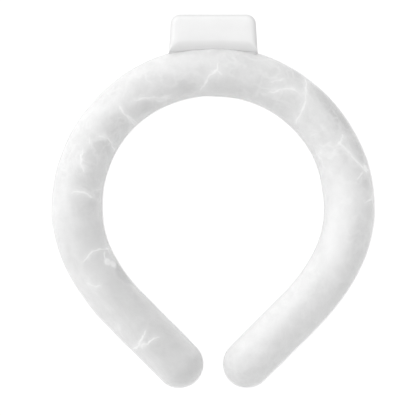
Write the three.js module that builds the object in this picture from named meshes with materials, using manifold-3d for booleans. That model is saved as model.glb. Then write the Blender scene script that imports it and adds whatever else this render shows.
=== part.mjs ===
// Cooling neck wrap: an open ring of clear plastic tube, filled with a gel that freezes in the fridge, with a moulded
// cap on its filling port at the nape. The ring keeps its shape, springs open at the front and is pushed onto the neck.
//
// It lies flat as it does on a table: +Y points to the nape and the cap, the open front is at -Y, +Z is up and the
// tube's underside is at Z = 0. Everything is in millimetres.

import * as THREE from "three";
import { mergeVertices } from "three/addons/utils/BufferGeometryUtils.js";
import Module from "manifold-3d";

// The ring
const crownRadius = 68; // centreline radius of the round half, from the nape to both sides
const tubeDiameter = 25; // outside diameter that the girth table follows
const skinWall = 1.2;
const gelClearance = 0.3; // between the skin's inside and the gel
const tipGap = 9.5; // the open front, between the two round tips

// The cap on the filling port
const capHeight = 18.5; // from the underside of its lip to its outer end
const capBaseWidth = 44.2;
const capTopWidth = 42;
const capDepth = 15;
const capCornerRadius = 3.8; // the two outer corners, seen from above
const capEdgeRound = 3.3; // the edges of its two flat faces
const capSeatDepth = 2.5; // how far the cap reaches down past the tube's crest
const lipThickness = 1.2;
const lipOverhang = 0.4;
const lipCornerRadius = 1.6;

// The filling port, a stub on the skin that the cap hides and plugs
const portRadius = 5;
const portBoreRadius = 3;
const portHeight = 7; // above the tube's crest
const plugLength = 5;
const fitClearance = 0.3; // between the cap and the skin

// Facets
const tubeSides = 24; // a multiple of 4, so that the tube has a flat underside and flat flanks
const tubeSteps = 56;
const domeSteps = 4;
const portSides = 20;
const cornerSteps = 5;
const edgeRoundSteps = 4;

// Half of the centreline, from the side of the ring down to the straight end of the leg.
// radius is a share of crownRadius, turn is in degrees.
const LEG_BENDS = [
  { radius: 0.87, turn: 27 },
  { radius: 1.4, turn: 18 },
];

// The tube's girth along half of the ring. at is a share of the half length, from the nape to the tip's centre.
// girth is a share of tubeDiameter.
const GIRTHS = [
  { place: "nape", at: 0, girth: 1 },
  { place: "shoulder", at: 0.27, girth: 0.965 },
  { place: "side", at: 0.53, girth: 1.03 },
  { place: "leg", at: 0.74, girth: 0.98 },
  { place: "tip", at: 1, girth: 0.975 },
];

const QUARTER_TURN = Math.PI / 2;
const tipRadius = (GIRTHS.at(-1).girth * tubeDiameter) / 2;
const napeRadius = (GIRTHS[0].girth * tubeDiameter) / 2;
const crestY = crownRadius + napeRadius;
const seatY = crestY - capSeatDepth;

// The pieces of half the centreline in order: the round half's quarter, the leg's bends and the straight end.
// The straight end is as long as it takes to leave tipGap between the two tips.
function centrelinePieces() {
  const bends = [{ radius: crownRadius, turn: QUARTER_TURN }];
  for (const bend of LEG_BENDS) {
    bends.push({ radius: bend.radius * crownRadius, turn: THREE.MathUtils.degToRad(bend.turn) });
  }
  const pieces = [];
  const point = new THREE.Vector2(0, crownRadius);
  let heading = 0;
  for (const { radius, turn } of bends) {
    const piece = { radius, heading, length: radius * turn, start: point.clone() };
    pieces.push(piece);
    point.copy(alongPiece(piece, piece.length).point);
    heading += turn;
  }
  const tipX = tipGap / 2 + tipRadius;
  const length = (point.x - tipX) / -Math.cos(heading);
  pieces.push({ radius: Infinity, heading, length, start: point.clone() });
  return pieces;
}

// Place and direction at a distance along one piece. A heading of 0 looks along +X and grows clockwise.
function alongPiece(piece, distance) {
  const turned = distance / piece.radius;
  const heading = piece.heading + turned;
  const chord = turned === 0 ? distance : 2 * piece.radius * Math.sin(turned / 2);
  const chordHeading = piece.heading + turned / 2;
  return {
    point: new THREE.Vector2(Math.cos(chordHeading), -Math.sin(chordHeading)).multiplyScalar(chord).add(piece.start),
    tangent: new THREE.Vector2(Math.cos(heading), -Math.sin(heading)),
  };
}

const PIECES = centrelinePieces();
const halfLength = PIECES.reduce((sum, piece) => sum + piece.length, 0);

// Place and direction of the centreline at a signed distance from the nape. Past a tip it runs straight on.
function centrelineAt(distance) {
  let rest = Math.abs(distance);
  let piece = PIECES[0];
  for (piece of PIECES) {
    if (rest <= piece.length || piece === PIECES.at(-1)) break;
    rest -= piece.length;
  }
  const { point, tangent } = alongPiece(piece, rest);
  if (distance < 0) {
    point.x *= -1;
    tangent.y *= -1;
  }
  return { point, tangent };
}

// The tube's outer radius at a distance from the nape, smooth between the rows of the girth table.
function tubeRadiusAt(distance) {
  const share = Math.min(Math.abs(distance) / halfLength, 1);
  const next = Math.max(1, GIRTHS.findIndex((row) => row.at >= share));
  const [from, to] = [GIRTHS[next - 1], GIRTHS[next]];
  const blend = THREE.MathUtils.smoothstep(share, from.at, to.at);
  return (THREE.MathUtils.lerp(from.girth, to.girth, blend) * tubeDiameter) / 2;
}

// A closed tube with round ends along the centreline, its surface inset from the skin's outside by a distance.
// It is turned as a straight capsule first and then bent, each section standing on the surface that the ring lies on.
function bentTube(inset) {
  const acrossFlats = 1 / Math.cos(Math.PI / tubeSides);
  const tipDome = tipRadius - inset;
  const profile = [];
  for (let k = 0; k < domeSteps; k++) {
    const angle = (QUARTER_TURN * k) / domeSteps;
    profile.push(new THREE.Vector2(tipDome * Math.sin(angle) * acrossFlats, -halfLength - tipDome * Math.cos(angle)));
  }
  for (let k = 0; k <= tubeSteps; k++) {
    const distance = halfLength * ((2 * k) / tubeSteps - 1);
    profile.push(new THREE.Vector2((tubeRadiusAt(distance) - inset) * acrossFlats, distance));
  }
  for (let k = domeSteps - 1; k >= 0; k--) {
    profile.push(new THREE.Vector2(profile[k].x, -profile[k].y));
  }
  const geometry = new THREE.LatheGeometry(profile, tubeSides, Math.PI / tubeSides);
  const position = geometry.getAttribute("position");
  for (let i = 0; i < position.count; i++) {
    const across = position.getX(i);
    const distance = position.getY(i);
    const { point, tangent } = centrelineAt(distance);
    position.setXYZ(
      i,
      point.x + across * tangent.y,
      point.y - across * tangent.x,
      tubeRadiusAt(distance) + position.getZ(i),
    );
  }
  return geometry;
}

// A cylinder along Y from one height to another, at the nape.
function portCylinder(radius, fromY, toY) {
  return new THREE.CylinderGeometry(radius, radius, toY - fromY, portSides).translate(
    0,
    (fromY + toY) / 2,
    napeRadius,
  );
}

// The cap's block: a tapering outline with two round outer corners, its two flat faces rounded at their edges.
function capBlock() {
  const [base, top] = [capBaseWidth / 2, capTopWidth / 2];
  const lean = Math.atan2(base - top, capHeight);
  const turnIn = capCornerRadius * Math.tan((QUARTER_TURN - lean) / 2);
  const outline = new THREE.Shape();
  outline.moveTo(-base, 0);
  outline.lineTo(base, 0);
  const cornerX = top - turnIn;
  const cornerY = capHeight - capCornerRadius;
  outline.absarc(cornerX, cornerY, capCornerRadius, lean, QUARTER_TURN, false);
  outline.absarc(-cornerX, cornerY, capCornerRadius, QUARTER_TURN, Math.PI - lean, false);
  const straightDepth = capDepth - 2 * capEdgeRound;
  return new THREE.ExtrudeGeometry(outline, {
    depth: straightDepth,
    bevelThickness: capEdgeRound,
    bevelSize: capEdgeRound,
    bevelOffset: -capEdgeRound,
    bevelSegments: edgeRoundSteps,
    curveSegments: cornerSteps,
  }).translate(0, seatY, napeRadius - straightDepth / 2);
}

// The thin lip round the cap's base.
function capLip() {
  const [halfX, halfZ] = [capBaseWidth / 2 + lipOverhang, capDepth / 2];
  const [innerX, innerZ] = [halfX - lipCornerRadius, halfZ - lipCornerRadius];
  const outline = new THREE.Shape();
  outline.absarc(innerX, -innerZ, lipCornerRadius, -QUARTER_TURN, 0, false);
  outline.absarc(innerX, innerZ, lipCornerRadius, 0, QUARTER_TURN, false);
  outline.absarc(-innerX, innerZ, lipCornerRadius, QUARTER_TURN, Math.PI, false);
  outline.absarc(-innerX, -innerZ, lipCornerRadius, Math.PI, Math.PI + QUARTER_TURN, false);
  return new THREE.ExtrudeGeometry(outline, {
    depth: lipThickness,
    bevelEnabled: false,
    curveSegments: cornerSteps,
  })
    .rotateX(-QUARTER_TURN)
    .translate(0, seatY, napeRadius);
}

const wasm = await Module();
wasm.setup();

// A closed geometry as a solid that can be joined and cut.
function solidOf(geometry) {
  const bare = geometry.clone();
  bare.deleteAttribute("normal");
  bare.deleteAttribute("uv");
  const merged = mergeVertices(bare, 1e-4);
  const corners = merged.index.array;
  const triangles = [];
  for (let i = 0; i < corners.length; i += 3) {
    const [a, b, c] = corners.subarray(i, i + 3);
    if (a !== b && b !== c && c !== a) triangles.push(a, b, c);
  }
  return new wasm.Manifold(
    new wasm.Mesh({
      numProp: 3,
      vertProperties: new Float32Array(merged.getAttribute("position").array),
      triVerts: new Uint32Array(triangles),
    }),
  );
}

// A solid back as a geometry with flat facets.
function geometryOf(solid) {
  const mesh = solid.getMesh();
  const geometry = new THREE.BufferGeometry();
  geometry.setAttribute("position", new THREE.BufferAttribute(new Float32Array(mesh.vertProperties), 3));
  geometry.setIndex(new THREE.BufferAttribute(new Uint32Array(mesh.triVerts), 1));
  const faceted = geometry.toNonIndexed();
  faceted.computeVertexNormals();
  return faceted;
}

// The skin: a thin hollow tube, open only through the bore of its filling port.
function makeSkin() {
  const portTop = crestY + portHeight;
  return solidOf(bentTube(0))
    .add(solidOf(portCylinder(portRadius, crownRadius, portTop)))
    .subtract(solidOf(bentTube(skinWall)))
    .subtract(solidOf(portCylinder(portBoreRadius, crownRadius, portTop + fitClearance)));
}

// The gel that fills the skin.
function makeGel() {
  return solidOf(bentTube(skinWall + gelClearance));
}

// The cap: saddled to the tube, with a socket over the port and a plug in the port's bore.
function makeCap() {
  const socketRoof = crestY + portHeight + fitClearance;
  return solidOf(capBlock())
    .add(solidOf(capLip()))
    .subtract(solidOf(bentTube(-fitClearance)))
    .subtract(solidOf(portCylinder(portRadius + fitClearance, crownRadius, socketRoof)))
    .add(solidOf(portCylinder(portBoreRadius - fitClearance, socketRoof - plugLength, socketRoof + fitClearance)));
}

function namedMesh(name, solid, look) {
  const mesh = new THREE.Mesh(geometryOf(solid), new THREE.MeshStandardMaterial(look));
  mesh.name = name;
  return mesh;
}

const wrap = new THREE.Group();
wrap.add(
  namedMesh("skin", makeSkin(), { color: 0xf1f1f2, roughness: 0.3, transparent: true, opacity: 0.4 }),
  namedMesh("gel_core", makeGel(), { color: 0xe2e2e2, roughness: 0.55 }),
  namedMesh("port_cap", makeCap(), { color: 0xf0f0f0, roughness: 0.35 }),
);

// The origin is under the middle of the whole wrap, on the surface that it lies on.
const capTopY = seatY + capHeight;
const tipBottomY = centrelineAt(halfLength).point.y - tipRadius;
wrap.position.y = -(capTopY + tipBottomY) / 2;

export default wrap;
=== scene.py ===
"""A cooling neck wrap, lying on a light table.

A clear plastic tube, bent to an open ring, holds a gel that has frozen white. A moulded cap closes its
filling port. Everything is in metres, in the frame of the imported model: +Y points to the nape and the cap,
the open front is at -Y and the ring lies on Z = 0.
"""

import logging
import math
import random
from dataclasses import dataclass, field
from enum import Enum
from typing import Any, Sequence, Union

import bmesh
import bpy
import numpy as np
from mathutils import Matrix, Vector
from mathutils.kdtree import KDTree


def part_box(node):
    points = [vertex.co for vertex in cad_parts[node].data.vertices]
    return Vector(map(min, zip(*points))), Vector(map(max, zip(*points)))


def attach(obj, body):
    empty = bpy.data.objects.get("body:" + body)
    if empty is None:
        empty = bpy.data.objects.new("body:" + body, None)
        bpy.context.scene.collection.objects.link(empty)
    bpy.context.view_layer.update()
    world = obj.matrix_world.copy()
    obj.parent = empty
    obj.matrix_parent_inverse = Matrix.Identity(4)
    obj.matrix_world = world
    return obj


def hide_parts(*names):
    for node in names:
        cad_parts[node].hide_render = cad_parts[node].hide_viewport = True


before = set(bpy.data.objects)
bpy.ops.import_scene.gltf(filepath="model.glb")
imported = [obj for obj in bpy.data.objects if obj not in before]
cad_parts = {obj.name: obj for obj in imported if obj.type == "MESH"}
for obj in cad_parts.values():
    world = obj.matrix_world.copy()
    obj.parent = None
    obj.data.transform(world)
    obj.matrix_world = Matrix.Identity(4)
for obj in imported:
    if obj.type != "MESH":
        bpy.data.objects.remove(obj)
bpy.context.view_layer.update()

LOG = logging.getLogger("neck_wrap")
MM = 0.001
BODY = "root"
CORNER_CUT = 0.25  # share of each length that rounding a line cuts off at either end

Colour = tuple[float, float, float, float]
Place = tuple[float, float]
Span = tuple[float, float]


def grey(level: float) -> Colour:
    """Give a plain grey from its linear level."""
    return (level, level, level, 1.0)


def smooth(numbers: np.ndarray, low: float | np.ndarray, high: float | np.ndarray) -> np.ndarray:
    """Rise smoothly from 0 at low to 1 at high."""
    share = np.clip((numbers - low) / (high - low), 0, 1)
    return share * share * (3 - 2 * share)


@dataclass(frozen=True)
class Noise:
    """A noise's spots, and how much it does where it is used."""

    size: float  # of its spots, in metres
    detail: float = 2.0  # number of finer octaves
    roughness: float = 0.5  # how strong the finer octaves are
    weight: float = 1.0


class Value:
    """A number's socket in a node tree, which Python's operators work on."""

    TERMS = ("Value", "Value_001")  # a Math node's inputs, in their order

    def __init__(self, sheet: "NodeSheet", socket: bpy.types.NodeSocket) -> None:
        """Wrap a socket.

        Args:
            sheet: The sheet that the socket's node is on.
            socket: The output socket that carries the number.
        """
        self.sheet = sheet
        self.socket = socket

    def _math(self, operation: str, *terms: "Source") -> "Value":
        """Add a Math node on one or two terms, in their order."""
        inputs = dict(zip(self.TERMS, terms))
        return self.sheet.value("ShaderNodeMath", {"operation": operation}, inputs, "Value")

    def __add__(self, other: "Source") -> "Value":
        """Add."""
        return self._math("ADD", self, other)

    def __radd__(self, other: "Source") -> "Value":
        """Add to a plain number."""
        return self._math("ADD", other, self)

    def __sub__(self, other: "Source") -> "Value":
        """Subtract."""
        return self._math("SUBTRACT", self, other)

    def __rsub__(self, other: "Source") -> "Value":
        """Subtract from a plain number."""
        return self._math("SUBTRACT", other, self)

    def __mul__(self, other: "Source") -> "Value":
        """Multiply."""
        return self._math("MULTIPLY", self, other)

    def __rmul__(self, other: "Source") -> "Value":
        """Multiply a plain number."""
        return self._math("MULTIPLY", other, self)

    def __truediv__(self, other: "Source") -> "Value":
        """Divide."""
        return self._math("DIVIDE", self, other)

    def __rtruediv__(self, other: "Source") -> "Value":
        """Divide a plain number."""
        return self._math("DIVIDE", other, self)

    def __abs__(self) -> "Value":
        """Drop the sign."""
        return self._math("ABSOLUTE", self)

    def smaller(self, other: "Source") -> "Value":
        """Give the smaller of this and another."""
        return self._math("MINIMUM", self, other)

    def larger(self, other: "Source") -> "Value":
        """Give the larger of this and another."""
        return self._math("MAXIMUM", self, other)

    def swing(self, weight: float) -> "Value":
        """Turn a noise about 0.5 into one about 0, and scale it."""
        return (self - 0.5) * weight

    def rise(self, low: "Source", high: "Source") -> "Value":
        """Rise smoothly from 0 at low to 1 at high."""
        ends = {"Value": self, "From Min": low, "From Max": high}
        settings = {"interpolation_type": "SMOOTHSTEP", "clamp": True}
        return self.sheet.value("ShaderNodeMapRange", settings, ends, "Result")


Source = Union[float, int, str, bool, Sequence[float], Value, bpy.types.NodeSocket, bpy.types.ID]


class NodeSheet:
    """A node tree that is written with Python expressions."""

    COLUMNS = 12
    CELL_WIDTH = 190
    CELL_HEIGHT = 240

    def __init__(self, tree: bpy.types.NodeTree) -> None:
        """Start on an empty tree.

        Args:
            tree: The node tree to fill.
        """
        self.tree = tree
        self.tree.nodes.clear()

    @staticmethod
    def _socket(sockets: Any, key: str) -> bpy.types.NodeSocket:
        """Find a socket by its identifier, or else by its name.

        Args:
            sockets: A node's inputs or its outputs.
            key: The identifier or the name.

        Returns:
            The socket.
        """
        for socket in sockets:
            if socket.identifier == key:
                return socket
        return next(socket for socket in sockets if socket.name == key and socket.enabled)

    def node(
        self,
        kind: str,
        settings: dict[str, Any] | None = None,
        inputs: dict[str, Source] | None = None,
    ) -> bpy.types.Node:
        """Add a node.

        Args:
            kind: The node's type.
            settings: Its own settings, which are made before its sockets are filled.
            inputs: Values or links for its sockets, by identifier or name.

        Returns:
            The new node.
        """
        node = self.tree.nodes.new(kind)
        row, column = divmod(len(self.tree.nodes), self.COLUMNS)
        node.location = (self.CELL_WIDTH * column, -self.CELL_HEIGHT * row)
        for name, setting in (settings or {}).items():
            setattr(node, name, setting)
        for key, source in (inputs or {}).items():
            socket = self._socket(node.inputs, key)
            if isinstance(source, Value):
                self.tree.links.new(source.socket, socket)
            elif isinstance(source, bpy.types.NodeSocket):
                self.tree.links.new(source, socket)
            else:
                socket.default_value = source
        return node

    def output(
        self,
        kind: str,
        settings: dict[str, Any] | None = None,
        inputs: dict[str, Source] | None = None,
        name: str = "",
    ) -> bpy.types.NodeSocket:
        """Add a node and give one of its output sockets.

        Args:
            kind: The node's type.
            settings: Its own settings.
            inputs: Values or links for its sockets.
            name: The output's identifier or name. The first output where it is empty.

        Returns:
            The output socket.
        """
        node = self.node(kind, settings, inputs)
        return self._socket(node.outputs, name) if name else node.outputs[0]

    def value(
        self,
        kind: str,
        settings: dict[str, Any] | None = None,
        inputs: dict[str, Source] | None = None,
        name: str = "",
    ) -> Value:
        """Add a node and give one of its outputs as a number to calculate with."""
        return Value(self, self.output(kind, settings, inputs, name))

    def noise(self, vector: Source, noise: Noise) -> Value:
        """Give a noise from 0 to 1 about a middle of 0.5."""
        return self.value("ShaderNodeTexNoise", {}, self._spots(vector, noise), "Fac")

    def warped(self, vector: Source, noise: Noise) -> bpy.types.NodeSocket:
        """Shift a place by a noise of its own in each direction, at most by the noise's weight."""
        colour = self.output("ShaderNodeTexNoise", {}, self._spots(vector, noise), "Color")
        return self.added(vector, self.scaled(colour, noise.weight))

    @staticmethod
    def _spots(vector: Source, noise: Noise) -> dict[str, Source]:
        """List the inputs of a noise's node."""
        spots = {"Scale": 1 / noise.size, "Detail": noise.detail, "Roughness": noise.roughness}
        return {"Vector": vector, **spots}

    def attribute(self, name: str) -> Value:
        """Read a number that the mesh carries."""
        return self.value("ShaderNodeAttribute", {"attribute_name": name}, {}, "Fac")

    def mix(self, share: Source, first: Source, second: Source) -> bpy.types.NodeSocket:
        """Blend two colours by a share from 0 to 1."""
        inputs = {"Factor_Float": share, "A_Color": first, "B_Color": second}
        return self.output("ShaderNodeMix", {"data_type": "RGBA"}, inputs, "Result_Color")

    def scaled(self, vector: Source, scale: Source) -> bpy.types.NodeSocket:
        """Multiply a colour or a vector by a number."""
        inputs = {"Vector": vector, "Scale": scale}
        return self.output("ShaderNodeVectorMath", {"operation": "SCALE"}, inputs, "Vector")

    def added(self, first: Source, second: Source) -> bpy.types.NodeSocket:
        """Add two vectors."""
        inputs = {"Vector": first, "Vector_001": second}
        return self.output("ShaderNodeVectorMath", {"operation": "ADD"}, inputs, "Vector")

    def bump(self, height: Source, distance: float, strength: float) -> bpy.types.NodeSocket:
        """Turn a height into a normal.

        Args:
            height: The height, from 0 to 1.
            distance: How high 1 stands, in metres.
            strength: How much of it shows.

        Returns:
            The normal.
        """
        inputs = {"Height": height, "Distance": distance, "Strength": strength}
        return self.output("ShaderNodeBump", {}, inputs, "Normal")

    def surface(self, inputs: dict[str, Source]) -> None:
        """Add a Principled shader as the material's surface."""
        shader = self.output("ShaderNodeBsdfPrincipled", {}, inputs)
        self.node("ShaderNodeOutputMaterial", {}, {"Surface": shader})


@dataclass(frozen=True)
class Girth:
    """The tube's girth at a place along half of the ring."""

    at: float  # share of the half length, from the nape to the tip's centre
    girth: float  # share of the tube's diameter


@dataclass(frozen=True)
class LegBend:
    """A bend of a leg, after the round half of the ring."""

    radius: float  # share of the crown's radius
    turn: float  # degrees


@dataclass
class RingPath:
    """The tube's centreline and girth, which every part of the ring follows."""

    crown_radius: float = 68 * MM
    tube_diameter: float = 25 * MM
    tip_gap: float = 9.5 * MM
    leg_bends: tuple[LegBend, ...] = (LegBend(0.87, 27), LegBend(1.4, 18))
    girths: tuple[Girth, ...] = (
        Girth(0, 1),
        Girth(0.27, 0.965),
        Girth(0.53, 1.03),
        Girth(0.74, 0.98),
        Girth(1, 0.975),
    )
    half_length: float = field(init=False)
    lift: float = field(init=False, default=0.0)

    def __post_init__(self) -> None:
        """Work out the half length, and how far the path is moved along Y into the model's frame."""
        bent = sum(radius * turn for radius, turn in self._bends())
        tip_x = self.tip_gap / 2 + self.tip_radius
        end, _ = self.centre(np.array([bent]))
        leaning = sum(turn for _, turn in self._bends())
        self.half_length = bent + (end[0, 0] - tip_x) / -math.cos(leaning)
        tip, _ = self.centre(np.array([self.half_length]))
        self.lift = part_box("skin")[0][1] + self.tip_radius - tip[0, 1]

    def _bends(self) -> list[tuple[float, float]]:
        """List the bends of half the ring as radius and turn in radians."""
        legs = [(bend.radius * self.crown_radius, math.radians(bend.turn)) for bend in self.leg_bends]
        return [(self.crown_radius, math.pi / 2), *legs]

    @property
    def tip_radius(self) -> float:
        """Radius of the round tips."""
        return self.girths[-1].girth * self.tube_diameter / 2

    @property
    def nape_radius(self) -> float:
        """Radius of the tube at the nape."""
        return self.girths[0].girth * self.tube_diameter / 2

    @property
    def crest(self) -> float:
        """Y of the tube's outer side at the nape."""
        return self.crown_radius + self.nape_radius + self.lift

    def centre(self, distance: np.ndarray) -> tuple[np.ndarray, np.ndarray]:
        """Find places on the centreline.

        Args:
            distance: Signed distances from the nape, in metres. Past a tip the line runs straight on.

        Returns:
            The places and the directions that point out of the ring there, both in plan.
        """
        rest = np.abs(distance)
        point = np.stack([np.zeros_like(rest), np.full_like(rest, self.crown_radius + self.lift)], axis=-1)
        heading = np.zeros_like(rest)
        start = 0.0
        for radius, turn in self._bends():
            turned = np.clip(rest, 0, radius * turn) / radius
            chord = 2 * radius * np.sin(turned / 2)
            middle = start + turned / 2
            point += chord[:, None] * np.stack([np.cos(middle), -np.sin(middle)], axis=-1)
            heading += turned
            rest = rest - radius * turn
            start += turn
        straight = np.maximum(rest, 0)
        point += straight[:, None] * np.array([math.cos(start), -math.sin(start)])
        mirror = np.where(distance < 0, -1.0, 1.0)
        point[:, 0] *= mirror
        return point, np.stack([np.sin(heading) * mirror, np.cos(heading)], axis=-1)

    def radius(self, distance: np.ndarray) -> np.ndarray:
        """Give the tube's outer radius.

        Args:
            distance: Signed distances from the nape.

        Returns:
            The radii there.
        """
        at = np.array([row.at for row in self.girths])
        girth = np.array([row.girth for row in self.girths])
        share = np.minimum(np.abs(distance) / self.half_length, 1)
        row = np.clip(np.searchsorted(at, share), 1, len(at) - 1)
        blend = smooth(share, at[row - 1], at[row])
        return (girth[row - 1] + (girth[row] - girth[row - 1]) * blend) * self.tube_diameter / 2

    def surface(self, distance: np.ndarray, angle: np.ndarray) -> tuple[np.ndarray, np.ndarray]:
        """Find places on the tube's outside.

        Args:
            distance: Signed distances from the nape.
            angle: Angles round the tube in radians, 0 on the outer side and a quarter turn on top.

        Returns:
            The places and the normals there.
        """
        point, outward = self.centre(distance)
        radius = self.radius(distance)
        normal = np.concatenate([outward * np.cos(angle)[:, None], np.sin(angle)[:, None]], axis=-1)
        place = np.concatenate([point, radius[:, None]], axis=-1) + normal * radius[:, None]
        return place, normal

    def stations(self, inset: float, steps: int, dome_steps: int) -> tuple[np.ndarray, np.ndarray]:
        """List the sections of a closed tube with round tips.

        Args:
            inset: How far its surface lies under the tube's outside.
            steps: Number of lengths between the tips' centres.
            dome_steps: Number of steps in each round tip.

        Returns:
            The sections' signed distances from the nape, and their radii.
        """
        dome = self.tip_radius - inset
        climb = np.linspace(0, math.pi / 2, dome_steps + 1)[:-1]
        body = np.linspace(-self.half_length, self.half_length, steps + 1)
        past = self.half_length + dome * np.cos(climb)
        distance = np.concatenate([-past, body, past[::-1]])
        ends = dome * np.sin(climb)
        return distance, np.concatenate([ends, self.radius(body) - inset, ends[::-1]])


@dataclass(frozen=True)
class Swell:
    """How unevenly the soft tube is filled."""

    height: float = 0.22 * MM  # most that a bulge stands proud or sinks
    size: float = 15 * MM  # of a bulge
    pucker: float = 0.16 * MM  # of the small puckers where the cap holds the tube
    pucker_size: float = 4.5 * MM
    pucker_reach: float = 34 * MM
    seed: float = 3.0


@dataclass(frozen=True)
class TubeGrid:
    """How finely a tube is divided."""

    steps: int  # lengths between the tips' centres
    dome_steps: int  # in each round tip
    sides: int


class TubeTree:
    """The Geometry Nodes tree that sweeps a round tube along a path and swells it."""

    NUMBERS = ("Swell", "Swell Size", "Pucker", "Pucker Size", "Pucker Reach", "Seed")
    MERGE_DISTANCE = 1e-6
    LEAST_SECTION = 1e-7  # radius that the sections at the very tips keep
    PUCKER_FADE = (0.35, 1.0)  # shares of the puckers' reach between which they fade
    PUCKER_SEED = 7.0  # more than the bulges' seed
    NOISE_SPAN = 3.0  # brings the noise to about -1 to 1

    def __init__(self) -> None:
        """Write the tree."""
        self.tree = bpy.data.node_groups.new("swept_tube", "GeometryNodeTree")
        self.tree.is_modifier = True
        self.identifiers: dict[str, str] = {}
        sheet = NodeSheet(self.tree)
        self._declare("Geometry", "NodeSocketGeometry")
        for name in self.NUMBERS:
            self._declare(name, "NodeSocketFloat")
        self._declare("Sides", "NodeSocketInt")
        self._declare("Finish", "NodeSocketMaterial")
        self.tree.interface.new_socket(name="Geometry", in_out="OUTPUT", socket_type="NodeSocketGeometry")
        self._sweep(sheet)

    def _declare(self, name: str, socket_type: str) -> None:
        """Add a named input to the tree."""
        socket = self.tree.interface.new_socket(name=name, in_out="INPUT", socket_type=socket_type)
        self.identifiers[name] = socket.identifier

    def _sweep(self, sheet: NodeSheet) -> None:
        """Add the nodes, from the path to the finished tube.

        Args:
            sheet: The sheet to write on.
        """
        entry = sheet.node("NodeGroupInput")
        given = {name: entry.outputs[name] for name in self.identifiers}
        number = {name: Value(sheet, given[name]) for name in self.NUMBERS}

        path = sheet.output("GeometryNodeMeshToCurve", {}, {"Mesh": given["Geometry"]}, "Curve")
        path = sheet.output("GeometryNodeSetCurveNormal", {"mode": "Z_UP"}, {"Curve": path}, "Curve")
        circle = {"Resolution": given["Sides"], "Radius": 1.0}
        section = sheet.output("GeometryNodeCurvePrimitiveCircle", {}, circle, "Curve")
        girth = self._carried(sheet, "section")
        swept = {"Curve": path, "Profile Curve": section, "Scale": girth, "Fill Caps": False}
        tube = sheet.output("GeometryNodeCurveToMesh", {}, swept, "Mesh")

        raised = sheet.output("ShaderNodeCombineXYZ", {}, {"Z": self._carried(sheet, "height")}, "Vector")
        steps = (
            ("SetPosition", {"Offset": raised}),
            ("MergeByDistance", {"Distance": self.MERGE_DISTANCE}),
            ("SetPosition", {"Offset": self._push(sheet, number)}),
            ("SetPosition", {"Position": self._settled(sheet)}),
            ("SetShadeSmooth", {"Shade Smooth": True}),
            ("RealizeInstances", {}),
            ("SetMaterial", {"Material": given["Finish"]}),
        )
        for kind, inputs in steps:
            tube = sheet.output("GeometryNode" + kind, {}, {"Geometry": tube, **inputs}, "Geometry")
        sheet.node("NodeGroupOutput", {}, {"Geometry": tube})

    def _push(self, sheet: NodeSheet, number: dict[str, Value]) -> bpy.types.NodeSocket:
        """Work out how far the bulges, and the puckers beside the cap, push each point.

        Args:
            sheet: The sheet to write on.
            number: The tree's numbers by name.

        Returns:
            The push, along the surface's normal.
        """
        bulge = self._swelling(sheet, number["Swell Size"], number["Seed"]) * number["Swell"]
        distance = abs(self._carried(sheet, "along")) / number["Pucker Reach"]
        nearness = 1 - distance.rise(*self.PUCKER_FADE)
        pucker_seed = number["Seed"] + self.PUCKER_SEED
        small = self._swelling(sheet, number["Pucker Size"], pucker_seed) * number["Pucker"]
        normal = sheet.output("GeometryNodeInputNormal")
        return sheet.scaled(normal, bulge + small * nearness)

    @staticmethod
    def _settled(sheet: NodeSheet) -> bpy.types.NodeSocket:
        """Keep each point from sinking below the surface that the ring lies on.

        Args:
            sheet: The sheet to write on.

        Returns:
            The point's place.
        """
        spot = sheet.node("ShaderNodeSeparateXYZ", {}, {"Vector": sheet.output("GeometryNodeInputPosition")})
        above = Value(sheet, spot.outputs["Z"]).larger(0.0)
        resting = {"X": spot.outputs["X"], "Y": spot.outputs["Y"], "Z": above}
        return sheet.output("ShaderNodeCombineXYZ", {}, resting, "Vector")

    @staticmethod
    def _carried(sheet: NodeSheet, name: str) -> Value:
        """Read a number that the path's points carry."""
        settings = {"data_type": "FLOAT"}
        return sheet.value("GeometryNodeInputNamedAttribute", settings, {"Name": name}, "Attribute")

    @classmethod
    def _swelling(cls, sheet: NodeSheet, size: Value, seed: Value) -> Value:
        """Give a soft noise from about -1 to 1.

        Args:
            sheet: The sheet to write on.
            size: Size of its bulges.
            seed: Which noise it is.

        Returns:
            The noise.
        """
        inputs = {"W": seed, "Scale": 1.0 / size, "Detail": 1.0, "Roughness": 0.4}
        noise = sheet.value("ShaderNodeTexNoise", {"noise_dimensions": "4D"}, inputs, "Fac")
        return noise.swing(cls.NOISE_SPAN)

    def grow(
        self,
        name: str,
        ring: RingPath,
        inset: float,
        grid: TubeGrid,
        swell: Swell,
        finish: bpy.types.Material,
    ) -> bpy.types.Object:
        """Make a tube along the ring.

        Args:
            name: The new object's name.
            ring: The path that it follows.
            inset: How far it lies under the ring's outside.
            grid: How finely it is divided.
            swell: How unevenly it is filled.
            finish: Its material.

        Returns:
            The tube, a plain mesh.
        """
        distance, section = ring.stations(inset, grid.steps, grid.dome_steps)
        point, _ = ring.centre(distance)
        mesh = bpy.data.meshes.new(name + "_path")
        corners = [(x, y, 0.0) for x, y in point]
        mesh.from_pydata(corners, [(i, i + 1) for i in range(len(corners) - 1)], [])
        radius = np.maximum(section, self.LEAST_SECTION)
        carried = {"section": radius, "height": ring.radius(distance), "along": distance}
        for key, numbers in carried.items():
            write_attribute(mesh, key, numbers)
        piece = new_object(name, mesh)
        modifier = piece.modifiers.new("sweep", "NODES")
        modifier.node_group = self.tree
        sizes = {
            "Swell": swell.height,
            "Swell Size": swell.size,
            "Pucker": swell.pucker,
            "Pucker Size": swell.pucker_size,
            "Pucker Reach": swell.pucker_reach,
            "Seed": swell.seed,
            "Sides": grid.sides,
            "Finish": finish,
        }
        for key, size in sizes.items():
            modifier[self.identifiers[key]] = size
        return plain_mesh(piece)


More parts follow.
